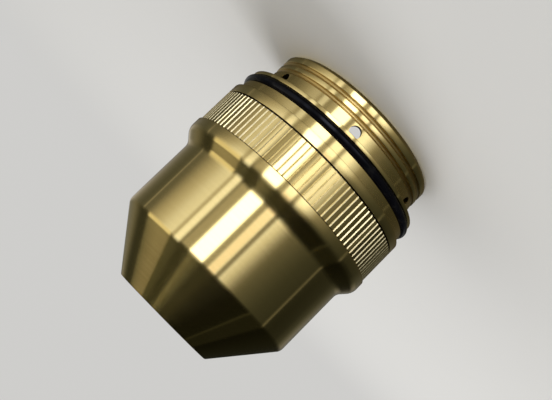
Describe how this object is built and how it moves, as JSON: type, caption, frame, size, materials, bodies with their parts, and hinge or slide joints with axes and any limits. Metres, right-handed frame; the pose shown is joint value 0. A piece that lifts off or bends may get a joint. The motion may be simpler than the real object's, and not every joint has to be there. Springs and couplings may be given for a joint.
{
  "type": "plasma torch shield cap",
  "caption": "Turned brass cap that screws or pushes over the head of a plasma cutting torch, with a straight knurled grip, a rubber sealing ring and an open tapered nose.",
  "frame": {"origin": "centre of the open rim's flat face, which the cap stands on", "axes": "+Z along the cap's axis from the open rim to the nose; one port lies on -Y"},
  "size_m": [0.0507, 0.0506, 0.06],
  "materials": {
    "brass": "fine turned, lightly polished",
    "seal_rubber": "smooth, slightly glossy"
  },
  "bodies": {
    "root": {"cap_body": "brass", "seal_ring": "seal_rubber"}
  },
  "joints": []
}
